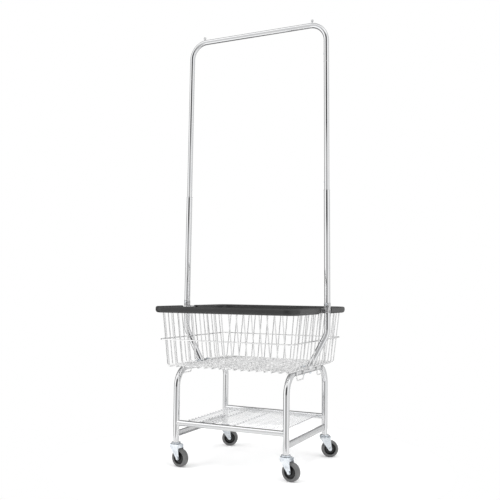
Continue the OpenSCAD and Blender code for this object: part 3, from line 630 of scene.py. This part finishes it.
def bumper_profile():
    pts = []

    def arc(cx, cz, r, a0, a1, n):
        for k in range(n + 1):
            a = math.radians(a0 + (a1 - a0) * k / n)
            pts.append((cx + r * math.cos(a), cz + r * math.sin(a)))
    arc(12.0, 661.0, 9.0, 180, 270, 8)
    arc(12.0, 661.0, 12.0, 270, 180, 10)
    arc(8.0, 668.0, 8.0, 180, 90, 10)
    arc(19.0, 670.0, 6.0, 90, 0, 8)
    pts.extend([(25.0, 651.6), (24.6, 651.0), (21.5, 651.0), (21.5, 669.0), (3.0, 669.0)])
    return pts


def build_bumper(angle, name, node):
    ox, oy = 330.0, 325.0
    near, far = -34.0, -95.0
    pts = route([(-ox, far, 0), (-ox, -oy, 0), (ox, -oy, 0), (ox, near, 0)], 57.0, step=4)
    turn = Matrix.Rotation(angle, 4, "Z")
    b = Builder()
    # the side vector points away from the middle on this route, so depth is negative
    b.sweep(pts, (0, 0, 1), [(-t, z) for t, z in bumper_profile()], matrix=turn)
    # slanted near cut: pull the lower part of the last section back
    m = len(bumper_profile())
    last = len(b.verts) - m
    back = turn @ Vector((0, -1, 0))
    for k in range(m):
        v = b.verts[last + k]
        drop = max(0.0, 665.2 - v.z) / 16.2
        b.verts[last + k] = v + back * (20.0 * drop)
    b.piece(name, node, sharp=30.0)


build_bumper(0.0, "bumper_half_front", "bumper_front")
build_bumper(math.pi, "bumper_half_rear", "bumper_rear")

# ---------------------------------------------------------------- rails, braces and fittings

def saddle_depth(offset):
    # how far the cut for the leg's tube reaches, at this distance from the leg's axis
    return math.sqrt((TUBE_R + 0.15) ** 2 - offset ** 2)


def hexagon(across):
    return ring(across / 2.0, 6)


def rounded_rectangle(half_x, half_y, r, n=5):
    pts = []
    for cx, cy, a0 in ((half_x - r, half_y - r, 0), (-half_x + r, half_y - r, 90),
                       (-half_x + r, -half_y + r, 180), (half_x - r, -half_y + r, 270)):
        for k in range(n + 1):
            a = math.radians(a0 + 90.0 * k / n)
            pts.append((cx + r * math.cos(a), cy + r * math.sin(a)))
    return pts


RAIL_R, RAIL_Z = 12.0, 181.0
for side, label in ((-1, "front"), (1, "rear")):
    b = Builder()
    sides = 40
    # half steps, so that each point has a twin straight above or below it for the end strips
    turns = [2 * math.pi * (k + 0.5) / sides for k in range(sides)]
    verts = []
    for end in (-1, 1):
        for place in (0, 1):
            for a in turns:
                dy = RAIL_R * math.cos(a)
                reach = LEG_X - saddle_depth(dy) - (0.0 if place == 0 else 16.0)
                verts.append((end * reach, side * LEG_Y + dy, RAIL_Z + RAIL_R * math.sin(a)))
    faces = []
    order = (0, 1, 3, 2)
    for r0, r1 in zip(order, order[1:]):
        for k in range(sides):
            l = (k + 1) % sides
            faces.append([r0 * sides + k, r1 * sides + k, r1 * sides + l, r0 * sides + l])
    for r0 in (0, 2):
        for k in range(sides // 2 - 1):
            faces.append([r0 * sides + k, r0 * sides + k + 1,
                          r0 * sides + sides - 2 - k, r0 * sides + sides - 1 - k])
    b.add(verts, faces)
    b.piece("shelf_rail_" + label + "_tube", "shelf_rail_" + label)

b = Builder()
for sx in (-1, 1):
    for sy in (-1, 1):
        place = Matrix.Translation((sx * (LEG_X - 24.0), sy * (LEG_Y - RAIL_R), RAIL_Z)) \
            @ Matrix.Rotation(sy * math.pi / 2, 4, "X")
        b.lathe([(0.0, -4.0), (1.7, -4.0), (2.0, -3.6), (2.0, 0.1), (3.7, 0.1), (4.0, 0.4), (4.0, 1.1),
                 (3.7, 1.8), (3.0, 2.25), (2.0, 2.5), (1.3, 2.5), (1.0, 1.6), (0.0, 1.5)], place, 28)
b.piece("rail_pan_screws", "rail_screws")


def brace_profile():
    pts = []

    def arc(cx, cz, r, a0, a1, n=4):
        for k in range(n + 1):
            a = math.radians(a0 + (a1 - a0) * k / n)
            pts.append((cx + r * math.cos(a), cz + r * math.sin(a)))
    arc(4.5, -10.0, 2.0, -90, 0)
    arc(4.5, 10.0, 2.0, 0, 90)
    arc(-5.1, 10.6, 1.4, 90, 180)
    pts.extend([(-6.5, 9.0), (-4.9, 9.0)])
    arc(-4.5, 10.0, 0.4, 180, 90, 2)
    arc(4.5, 10.0, 0.4, 90, 0, 2)
    arc(4.5, -10.0, 0.4, 0, -90, 2)
    arc(-4.5, -10.0, 0.4, 270, 180, 2)
    pts.extend([(-4.9, -9.0), (-6.5, -9.0)])
    arc(-5.1, -10.6, 1.4, 180, 270)
    return pts


for side, label in ((-1, "left"), (1, "right")):
    b = Builder()
    profile = brace_profile()
    m = len(profile)
    verts = []
    for end, inset_y in ((-1, 0.0), (-1, 12.0), (1, 12.0), (1, 0.0)):
        for dx, dz in profile:
            y = end * (LEG_Y - saddle_depth(dx) - inset_y)
            verts.append((side * (LEG_X + dx), y, 134.0 + dz))
    faces = []
    for i in range(3):
        for k in range(m):
            l = (k + 1) % m
            faces.append([i * m + k, i * m + l, (i + 1) * m + l, (i + 1) * m + k])
    faces.append(list(range(m)))
    faces.append([3 * m + k for k in reversed(range(m))])
    b.add(verts, faces)
    b.piece("side_brace_" + label + "_channel", "side_brace_" + label, material=SHEET)

CLIP_Y = 2 * LONG_HALF / 13
CLIP_Z = LONG_Z + WIRE_R + TOUCH
HEAD_Z = CLIP_Z + 2.0 + TOUCH
NUT_Z = LEG_TOP - TUBE_R - TOUCH
b = Builder()
bolts = Builder()
for sx in (-1, 1):
    for sy in (-1, 1):
        place = Matrix.Translation((sx * LEG_X, sy * CLIP_Y, 0))
        b.prism(rounded_rectangle(8.0, 23.2, 2.5), 2.0, place @ Matrix.Translation((0, 0, CLIP_Z)), 0.35)
        bolts.lathe([(0.0, NUT_Z - 7.0), (2.5, NUT_Z - 7.0), (3.0, NUT_Z - 6.4), (3.0, HEAD_Z + 0.5),
                     (0.0, HEAD_Z + 0.5)], place, 28)
        bolts.prism(hexagon(11.5), 4.0, place @ Matrix.Translation((0, 0, HEAD_Z)), 0.5)
        bolts.prism(hexagon(11.5), 5.0, place @ Matrix.Translation((0, 0, NUT_Z - 5.0)), 0.5)
b.piece("basket_clip_plates", "basket_clips")
bolts.piece("basket_clip_bolts", "basket_bolts", sharp=25.0)

PLATE_X = frame_x + FRAME_R + TOUCH
COLLAR_TOP = SEAM_LOW - DATUM - 2.2
bolts = Builder()
for side, label in ((-1, "left"), (1, "right")):
    flip = mirrored_x() if side < 0 else Matrix.Identity(4)
    b = Builder()
    # clamp collar: a rolled edge at each end and a shallow waist round the middle
    b.lathe([(TUBE_R + 0.1, -44.6), (TUBE_R + 0.5, -45.0), (13.9, -45.0), (14.2, -44.6), (14.2, -41.0),
             (13.9, -39.8), (13.9, -9.4), (14.2, -8.2), (14.2, COLLAR_TOP - 0.4), (13.9, COLLAR_TOP),
             (TUBE_R + 0.5, COLLAR_TOP), (TUBE_R + 0.1, COLLAR_TOP - 0.4)], flip @ UPRIGHT, 48, closed=True)
    # hooked plate: one bent sheet, its section drawn across the top frame
    lip = PLATE_X + 3.0 - 9.4
    section = [(PLATE_X, 653.4), (PLATE_X + 0.4, 653.0), (PLATE_X + 2.6, 653.0), (PLATE_X + 3.0, 653.4),
               (PLATE_X + 3.0, 671.4), (PLATE_X + 2.5, 672.9), (PLATE_X + 1.2, 673.8), (PLATE_X - 0.2, 674.0),
               (lip + 0.4, 674.0), (lip, 673.6), (lip, 668.7), (lip + 0.4, 668.3),
               (PLATE_X - 0.5, 668.3), (PLATE_X, 667.8)]
    stand = flip @ Matrix.Translation((0, 32.0, 0)) @ Matrix.Rotation(math.pi / 2, 4, "X")
    b.prism(section, 64.0, stand)
    b.prism([(PLATE_X + 1.0, 653.0), (329.4, 653.0), (329.2, 675.0), (PLATE_X + 1.0, 675.0)], 16.0,
            flip @ Matrix.Translation((0, 8.0, 0)) @ Matrix.Rotation(math.pi / 2, 4, "X"), 0.6)
    b.piece("rack_bracket_" + label + "_clamp", "rack_bracket_" + label, material=CAST)
    place = flip @ UPRIGHT @ Matrix.Translation((0, 0, -10.0)) @ Matrix.Rotation(math.pi / 2, 4, "X")
    bolts.lathe([(0.0, -19.3), (2.1, -19.3), (2.5, -18.8), (2.5, 14.3), (4.3, 14.3), (4.5, 14.5), (4.5, 15.6),
                 (4.1, 16.4), (3.2, 17.1), (2.0, 17.5), (1.3, 17.5), (1.0, 16.6), (0.0, 16.5)], place, 28)
    bolts.prism(hexagon(9.2), 4.0, place @ Matrix.Translation((0, 0, -18.3)), 0.4)
bolts.piece("bracket_clamp_bolts", "bracket_bolts", sharp=25.0)

for side, label in ((-1, "left"), (1, "right")):
    flip = mirrored_x() if side < 0 else Matrix.Identity(4)
    for seam, level_name in ((SEAM_MID, "mid"), (SEAM_TOP, "top")):
        b = Builder()
        place = flip @ UPRIGHT @ Matrix.Translation((0, 0, seam - DATUM + 34.0)) \
            @ Matrix.Rotation(-math.pi / 2, 4, "Y")
        b.lathe([(0.0, 5.6), (4.3, 5.6), (4.5, 5.8), (4.5, 6.6), (4.3, 6.8), (3.22, 6.8), (3.22, 12.1),
                 (3.05, 12.7), (2.6, 13.2), (1.8, 13.5), (0.0, 13.6)], place, 28)
        b.piece("snap_pin_" + level_name + "_" + label, "snap_button_" + level_name + "_" + label)

b = Builder()
for sx in (-1, 1):
    place = Matrix.Translation((sx * PIN_X, 0, BAR_Z))
    ball = [(6.0 * math.sin(math.radians(a)), 21.0 - 6.0 * math.cos(math.radians(a))) for a in range(30, 180, 10)]
    b.lathe([(0.0, 4.0), (2.5, 4.0), (2.5, 10.9), (3.6, 11.1), (3.5, 11.9), (2.9, 12.6), (2.5, 13.4), (2.5, 15.2)]
            + ball + [(0.0, 27.0)], place, 36)
b.piece("stop_pin_balls", "stop_pins")

# ---------------------------------------------------------------- casters

AXLE_Z, TRAIL = 37.5, 24.0
FORK_IN, FORK_T = 15.5, 2.5
FORK_BACK, FORK_FRONT = -19.0, 26.0


def leg_span(z):
    """Left and right edge of a fork leg at a height, in the caster's own frame."""
    if z >= 81.0:
        return FORK_BACK, FORK_FRONT
    reach = []
    for side, corner in ((-1, FORK_BACK), (1, FORK_FRONT)):
        # tangent from the upper corner to the round foot
        dx, dz = TRAIL - corner, AXLE_Z - 81.0
        gap = math.hypot(dx, dz)
        swing = math.asin(8.0 / gap)
        heading = math.atan2(dz, dx) + side * swing
        touch = math.sqrt(gap * gap - 64.0)
        tz = 81.0 + touch * math.sin(heading)
        if z >= tz:
            reach.append(corner + (z - 81.0) / math.tan(heading))
        else:
            reach.append(TRAIL + side * math.sqrt(max(0.0, 64.0 - (z - AXLE_Z) ** 2)))
    return reach[0], reach[1]


def sheet(b, stations, matrix):
    """stations: (y, z, across normal y, z, half thickness, left x, right x), in order along the sheet."""
    verts, faces = [], []
    for y, z, ny, nz, half_t, x0, x1 in stations:
        c = min(0.45, (x1 - x0) * 0.3)
        for x, s in ((x0, 1 - c / half_t), (x0 + c, 1), (x1 - c, 1), (x1, 1 - c / half_t),
                     (x1, -1 + c / half_t), (x1 - c, -1), (x0 + c, -1), (x0, -1 + c / half_t)):
            verts.append((x, y + ny * half_t * s, z + nz * half_t * s))
    for i in range(len(stations) - 1):
        for k in range(8):
            l = (k + 1) % 8
            faces.append([i * 8 + k, i * 8 + l, (i + 1) * 8 + l, (i + 1) * 8 + k])
    faces.append(list(range(8)))
    faces.append([(len(stations) - 1) * 8 + k for k in reversed(range(8))])
    b.add(verts, faces, matrix)


def fork_stations():
    half = []
    mid_y = FORK_IN + FORK_T / 2
    low = AXLE_Z - 8.0
    heights = [low + 0.04, low + 0.4, low + 1.2, low + 2.4, low + 4.0, low + 6.0, low + 8.0, low + 10.0,
               low + 12.0, 46.0, 54.0, 62.0, 70.0, 78.0, 80.9, 81.0, 86.0, 88.6]
    for z in heights:
        x0, x1 = leg_span(z)
        half.append((mid_y, z, 1.0, 0.0, FORK_T / 2, x0, x1))
    # bend into the crown plate
    for k in range(1, 7):
        a = math.radians(90.0 * k / 6)
        r = 4.0
        half.append((mid_y - r + r * math.cos(a), 88.6 + r * math.sin(a) - 0.1 * k / 6, math.cos(a), math.sin(a),
                     FORK_T / 2 + 0.25 * k / 6, FORK_BACK, FORK_FRONT))
    return half + [(-y, z, -ny, nz, t, x0, x1) for y, z, ny, nz, t, x0, x1 in reversed(half)]


def arc_profile(cr, ch, r, a0, a1, n):
    return [(cr + r * math.cos(math.radians(a0 + (a1 - a0) * k / n)),
             ch + r * math.sin(math.radians(a0 + (a1 - a0) * k / n))) for k in range(n + 1)]


CASTERS = (("front_left", -1, -1, -10.0), ("front_right", 1, -1, -10.0),
           ("rear_left", -1, 1, 18.0), ("rear_right", 1, 1, 27.0))
for label, sx, sy, heading in CASTERS:
    at = Matrix.Translation((sx * LEG_X, sy * LEG_Y, 0)) @ Matrix.Rotation(math.radians(heading), 4, "Z")
    axis = at @ Matrix.Translation((TRAIL, 0, AXLE_Z)) @ Matrix.Rotation(math.pi / 2, 4, "X")

    # stem: plug in the leg's tube, pressed raceway cup with a groove, kingpin and its riveted end
    b = Builder()
    b.lathe([(0.0, 87.5), (4.6, 87.5), (7.4, 88.0), (8.7, 88.9), (9.0, 89.8), (8.7, 90.5), (5.0, 90.5),
             (5.0, 94.5), (17.6, 94.5), (18.9, 94.9), (19.7, 95.6), (20.0, 96.4), (20.0, 98.4), (19.7, 99.3),
             (19.0, 99.8), (18.0, 100.0), (16.9, 99.9), (16.2, 99.4), (15.4, 99.3), (14.6, 99.5), (14.0, 100.0),
             (11.1, 100.0), (11.1, 139.2), (10.3, 140.0), (0.0, 140.0)], at, 56)
    b.piece("caster_stem_" + label, "stem_" + label)

    # fork: one bent sheet under a round crown with a rolled edge
    b = Builder()
    sheet(b, fork_stations(), at)
    b.lathe([(5.08, 91.0), (20.8, 91.0), (22.2, 91.3), (22.9, 92.0), (23.0, 92.7), (22.6, 93.4), (21.6, 93.9),
             (20.4, 94.0), (19.2, 93.8), (18.4, 93.5), (17.4, 93.5), (16.6, 94.0), (5.08, 94.0)], at, 56,
            closed=True)
    b.piece("caster_fork_" + label, "fork_" + label, sharp=30.0)

    # axle bolt and nut
    b = Builder()
    b.lathe([(0.0, -24.1), (3.4, -24.1), (4.0, -23.4), (4.0, 18.2), (0.0, 18.2)], axis, 36)
    b.prism(hexagon(13.8), 4.0, axis @ Matrix.Translation((0, 0, 18.1)), 0.6)
    b.prism(hexagon(13.8), 5.0, axis @ Matrix.Translation((0, 0, -23.1)), 0.6)
    b.piece("caster_axle_bolt_" + label, "axle_" + label, sharp=25.0)

    # dished hub
    side_profile = [(4.08, 14.3), (4.3, 14.5), (8.3, 14.5), (9.0, 13.8), (9.6, 9.6), (10.2, 7.9), (11.6, 7.0),
                    (15.0, 6.3), (18.6, 5.9), (20.4, 6.2), (21.3, 7.2), (22.0, 10.0), (22.7, 10.8), (23.6, 11.0),
                    (25.5, 11.0), (26.0, 10.5)]
    b = Builder()
    b.lathe(side_profile + [(r, -h) for r, h in reversed(side_profile)], axis, 72, closed=True)
    b.piece("caster_hub_" + label, "hub_" + label)

    # tyre with round shoulders, a moulded line in the middle and a step on each side wall
    half = [(26.05, 11.0), (26.6, 12.1), (27.6, 12.5), (30.2, 12.5), (30.5, 12.2), (31.1, 12.2), (31.4, 12.5)] \
        + arc_profile(32.5, 7.5, 4.85, 90, 0, 9) + [(37.35, 0.6), (37.5, 0.25)]
    b = Builder()
    b.lathe(half + [(r, -h) for r, h in reversed(half)], axis, 96, closed=True)
    b.piece("caster_tyre_" + label, "tyre_" + label, sharp=50.0)

# ---------------------------------------------------------------- camera, floor and light

azimuth, pitch, roll = math.radians(25.58), math.radians(3.30), math.radians(0.61)
forward = Vector((-math.sin(azimuth) * math.cos(pitch), math.cos(azimuth) * math.cos(pitch), math.sin(pitch)))
right = Vector((math.cos(azimuth), math.sin(azimuth), 0))
up = right.cross(forward)
right2 = right * math.cos(roll) + up * math.sin(roll)
up2 = up * math.cos(roll) - right * math.sin(roll)
camera_data = bpy.data.cameras.new("camera")
camera_data.sensor_width = 36.0
camera_data.lens = 704.3 * 36.0 / 500.0
camera = bpy.data.objects.new("camera", camera_data)
bpy.context.scene.collection.objects.link(camera)
camera.matrix_world = Matrix((
    (right2.x, up2.x, -forward.x, 1.3346),
    (right2.y, up2.y, -forward.y, -2.8344),
    (right2.z, up2.z, -forward.z, 0.7453),
    (0, 0, 0, 1)))
bpy.context.scene.camera = camera

mesh = bpy.data.meshes.new("floor")
FLOOR_R = 0.85
rim = [(FLOOR_R * math.cos(2 * math.pi * k / 96), FLOOR_R * math.sin(2 * math.pi * k / 96), 0) for k in range(96)]
mesh.from_pydata(rim, [], [tuple(range(96))])
floor = bpy.data.objects.new("floor", mesh)
bpy.context.scene.collection.objects.link(floor)
mesh.materials.append(floor_material())

# The studio: a white backdrop, two large soft boxes at the sides, a dim camera side.
world = bpy.data.worlds.new("studio")
bpy.context.scene.world = world
world.use_nodes = True
tree = world.node_tree
tree.nodes.clear()


def soft_step(source, low, high):
    node = tree.nodes.new("ShaderNodeMapRange")
    node.interpolation_type = "SMOOTHSTEP"
    node.inputs["From Min"].default_value = low
    node.inputs["From Max"].default_value = high
    tree.links.new(source, node.inputs["Value"])
    return node.outputs[0]


def band(source, low, high, blur):
    return maths(tree, "MULTIPLY", soft_step(source, low - blur, low + blur),
                 maths(tree, "SUBTRACT", 1.0, soft_step(source, high - blur, high + blur)))


coord = tree.nodes.new("ShaderNodeTexCoord")
split = tree.nodes.new("ShaderNodeSeparateXYZ")
tree.links.new(coord.outputs["Generated"], split.inputs[0])
# angle round the object, 0 towards the camera, positive to the right of it
cos_a, sin_a = math.cos(azimuth), math.sin(azimuth)
towards = maths(tree, "ADD", maths(tree, "MULTIPLY", split.outputs[0], sin_a),
                maths(tree, "MULTIPLY", split.outputs[1], -cos_a))
across = maths(tree, "ADD", maths(tree, "MULTIPLY", split.outputs[0], cos_a),
               maths(tree, "MULTIPLY", split.outputs[1], sin_a))
turn = maths(tree, "MULTIPLY", maths(tree, "ARCTAN2", across, towards), 180.0 / math.pi)
height = maths(tree, "MULTIPLY", maths(tree, "ARCSINE", split.outputs[2]), 180.0 / math.pi)
left_box = band(turn, -98.0, -60.0, 4.0)
right_box = band(turn, 34.0, 70.0, 6.0)
dark_front = maths(tree, "MULTIPLY", band(turn, -38.0, 14.0, 5.0), band(height, -4.0, 34.0, 5.0))
dim_front = maths(tree, "MULTIPLY", band(turn, -40.0, 14.0, 8.0), band(height, -50.0, -4.0, 5.0))
far_side = maths(tree, "SUBTRACT", 1.0, band(turn, -108.0, 146.0, 6.0))
overhead = soft_step(height, 38.0, 60.0)
high_box = maths(tree, "MULTIPLY", band(turn, -80.0, 60.0, 10.0), band(height, 44.0, 64.0, 4.0))
level = maths(tree, "ADD", 1.0, maths(tree, "MULTIPLY", left_box, 0.7))
level = maths(tree, "ADD", level, maths(tree, "MULTIPLY", right_box, 0.45))
level = maths(tree, "SUBTRACT", level, maths(tree, "MULTIPLY", dark_front, 0.93))
level = maths(tree, "SUBTRACT", level, maths(tree, "MULTIPLY", dim_front, 0.38))
level = maths(tree, "SUBTRACT", level, maths(tree, "MULTIPLY", far_side, 0.72))
level = maths(tree, "ADD", level, maths(tree, "MULTIPLY", overhead, 0.10))
level = maths(tree, "ADD", level, maths(tree, "MULTIPLY", high_box, 0.45))
studio_light = tree.nodes.new("ShaderNodeBackground")
studio_light.inputs[0].default_value = (1.0, 1.0, 1.0, 1.0)
tree.links.new(level, studio_light.inputs[1])
backdrop = tree.nodes.new("ShaderNodeBackground")
backdrop.inputs[0].default_value = (1.0, 1.0, 1.0, 1.0)
backdrop.inputs[1].default_value = 1.0
path_kind = tree.nodes.new("ShaderNodeLightPath")
either = tree.nodes.new("ShaderNodeMixShader")
tree.links.new(path_kind.outputs["Is Camera Ray"], either.inputs[0])
tree.links.new(studio_light.outputs[0], either.inputs[1])
tree.links.new(backdrop.outputs[0], either.inputs[2])
out = tree.nodes.new("ShaderNodeOutputWorld")
tree.links.new(either.outputs[0], out.inputs[0])
bpy.context.scene.view_settings.view_transform = "Standard"


def area_light(name, place, target, size, power):
    data = bpy.data.lights.new(name, "AREA")
    data.shape = "RECTANGLE"
    data.size, data.size_y = size
    data.energy = power
    lamp = bpy.data.objects.new(name, data)
    bpy.context.scene.collection.objects.link(lamp)
    lamp.location = place
    lamp.rotation_euler = (Vector(target) - Vector(place)).to_track_quat("-Z", "Y").to_euler()
    lamp.visible_glossy = False
    return lamp


area_light("key", (-2.6, -2.4, 3.4), (0, 0, 0.7), (1.8, 1.8), 32.0)
area_light("fill", (3.2, -1.6, 2.6), (0, 0, 0.8), (1.4, 2.2), 20.0)
area_light("top", (0.2, 0.6, 4.2), (0, 0, 0.5), (2.6, 2.6), 30.0)
